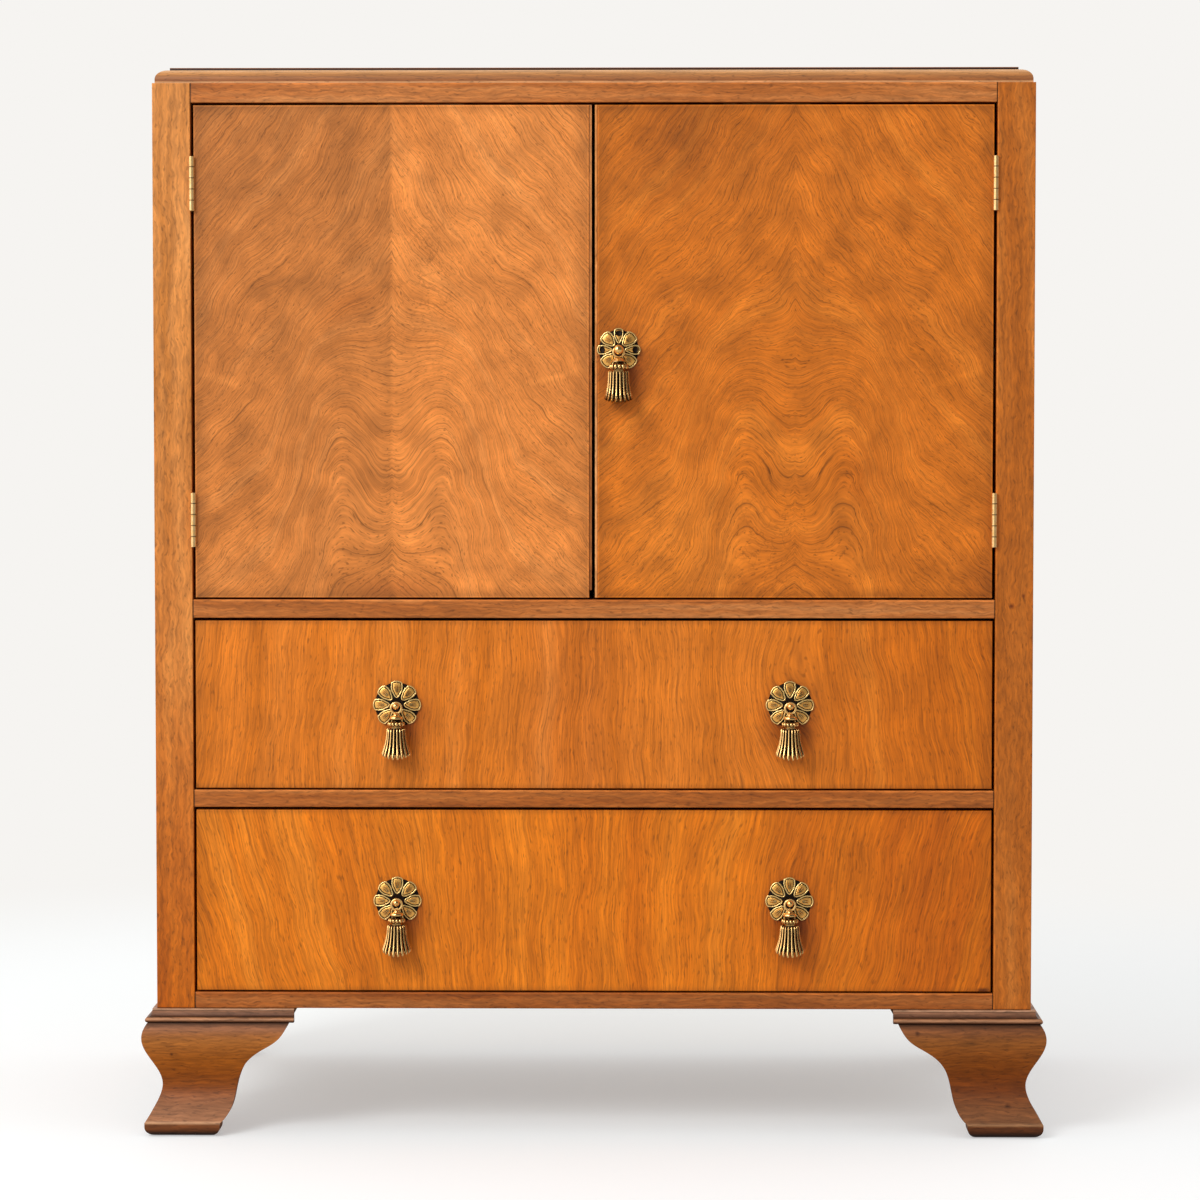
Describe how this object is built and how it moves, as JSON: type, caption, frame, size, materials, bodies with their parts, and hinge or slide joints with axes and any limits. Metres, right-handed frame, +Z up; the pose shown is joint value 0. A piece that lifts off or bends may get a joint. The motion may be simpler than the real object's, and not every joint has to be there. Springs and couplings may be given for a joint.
{
  "type": "cupboard chest",
  "caption": "Walnut cupboard chest on ogee bracket feet: paired inset doors hinge open over a shelf, and full-width dovetailed drawers slide out below on tassel pulls.",
  "frame": {"origin": "centre of the bounding box's bottom face, on the floor under the chest", "axes": "+X to the right seen from the front, +Y from the front to the back, +Z up"},
  "size_m": [0.8396, 0.4823, 0.991],
  "materials": {
    "walnut_frame": "satin varnish over solid walnut",
    "walnut_veneer": "satin varnish over figured walnut veneer",
    "oak_lining": "planed oak, unfinished",
    "plywood": "birch plywood, unfinished",
    "pine": "planed pine, unfinished",
    "hinge_brass": "polished brass",
    "pull_brass": "aged cast brass"
  },
  "bodies": {
    "carcass": {"top_panel": "walnut_frame", "left_side": "walnut_veneer", "right_side": "walnut_veneer", "left_stile": "walnut_frame", "right_stile": "walnut_frame", "top_rail": "walnut_frame", "cupboard_rail": "walnut_frame", "drawer_rail": "walnut_frame", "bottom_rail": "walnut_frame", "back_rails": "pine", "back_panel": "plywood", "cupboard_floor": "plywood", "shelf": "oak_lining", "shelf_battens": "oak_lining", "drawer_runners": "pine", "drawer_guides": "pine", "drawer_kickers": "pine", "drawer_stops": "pine", "door_stops": "pine", "front_left_foot": "walnut_frame", "front_right_foot": "walnut_frame", "rear_left_foot": "walnut_frame", "rear_right_foot": "walnut_frame", "foot_blocks": "pine", "foot_mouldings": "walnut_frame", "stile_hinge_leaves": "hinge_brass", "hinge_pins": "hinge_brass", "carcass_hinge_screws": "hinge_brass"},
    "left_door": {"left_door_panel": "walnut_veneer", "left_door_lipping": "walnut_frame", "left_door_hinge_leaves": "hinge_brass", "left_door_hinge_screws": "hinge_brass", "left_door_bolt_plate": "hinge_brass"},
    "left_door_bolt": {"left_door_bolt": "hinge_brass"},
    "right_door": {"right_door_panel": "walnut_veneer", "right_door_lipping": "walnut_frame", "right_door_hinge_leaves": "hinge_brass", "right_door_hinge_screws": "hinge_brass", "door_pull_rosette": "pull_brass", "door_pull_post": "pull_brass"},
    "door_pull_tassel": {"door_pull_tassel": "pull_brass"},
    "upper_drawer": {"upper_drawer_front": "walnut_veneer", "upper_drawer_left_side": "oak_lining", "upper_drawer_right_side": "oak_lining", "upper_drawer_back": "oak_lining", "upper_drawer_bottom": "plywood", "upper_drawer_pull_rosettes": "pull_brass", "upper_drawer_pull_posts": "pull_brass"},
    "upper_drawer_left_tassel": {"upper_drawer_left_tassel": "pull_brass"},
    "upper_drawer_right_tassel": {"upper_drawer_right_tassel": "pull_brass"},
    "lower_drawer": {"lower_drawer_front": "walnut_veneer", "lower_drawer_left_side": "oak_lining", "lower_drawer_right_side": "oak_lining", "lower_drawer_back": "oak_lining", "lower_drawer_bottom": "plywood", "lower_drawer_pull_rosettes": "pull_brass", "lower_drawer_pull_posts": "pull_brass"},
    "lower_drawer_left_tassel": {"lower_drawer_left_tassel": "pull_brass"},
    "lower_drawer_right_tassel": {"lower_drawer_right_tassel": "pull_brass"}
  },
  "joints": [
    {"name": "left_door_hinge", "type": "hinge", "parent": "carcass", "child": "left_door", "pos_m": [-0.37, -0.21615, 0.72875], "axis": [0, 0, -1], "range_deg": [0, 175]},
    {"name": "right_door_hinge", "type": "hinge", "parent": "carcass", "child": "right_door", "pos_m": [0.37, -0.21615, 0.72875], "axis": [0, 0, 1], "range_deg": [0, 175]},
    {"name": "left_door_bolt_slide", "type": "slide", "parent": "left_door", "child": "left_door_bolt", "axis": [0, 0, 1], "range_m": [0, 0.012]},
    {"name": "door_pull_swing", "type": "hinge", "parent": "right_door", "child": "door_pull_tassel", "pos_m": [0.0235, -0.22765, 0.7334], "axis": [-1, 0, 0], "range_deg": [0, 30]},
    {"name": "upper_drawer_slide", "type": "slide", "parent": "carcass", "child": "upper_drawer", "axis": [0, -1, 0], "range_m": [0, 0.3]},
    {"name": "upper_drawer_left_pull_swing", "type": "hinge", "parent": "upper_drawer", "child": "upper_drawer_left_tassel", "pos_m": [-0.182, -0.22765, 0.4052], "axis": [-1, 0, 0], "range_deg": [0, 45]},
    {"name": "upper_drawer_right_pull_swing", "type": "hinge", "parent": "upper_drawer", "child": "upper_drawer_right_tassel", "pos_m": [0.182, -0.22765, 0.4052], "axis": [-1, 0, 0], "range_deg": [0, 45]},
    {"name": "lower_drawer_slide", "type": "slide", "parent": "carcass", "child": "lower_drawer", "axis": [0, -1, 0], "range_m": [0, 0.3]},
    {"name": "lower_drawer_left_pull_swing", "type": "hinge", "parent": "lower_drawer", "child": "lower_drawer_left_tassel", "pos_m": [-0.182, -0.22765, 0.2227], "axis": [-1, 0, 0], "range_deg": [0, 45]},
    {"name": "lower_drawer_right_pull_swing", "type": "hinge", "parent": "lower_drawer", "child": "lower_drawer_right_tassel", "pos_m": [0.182, -0.22765, 0.2227], "axis": [-1, 0, 0], "range_deg": [0, 45]}
  ]
}
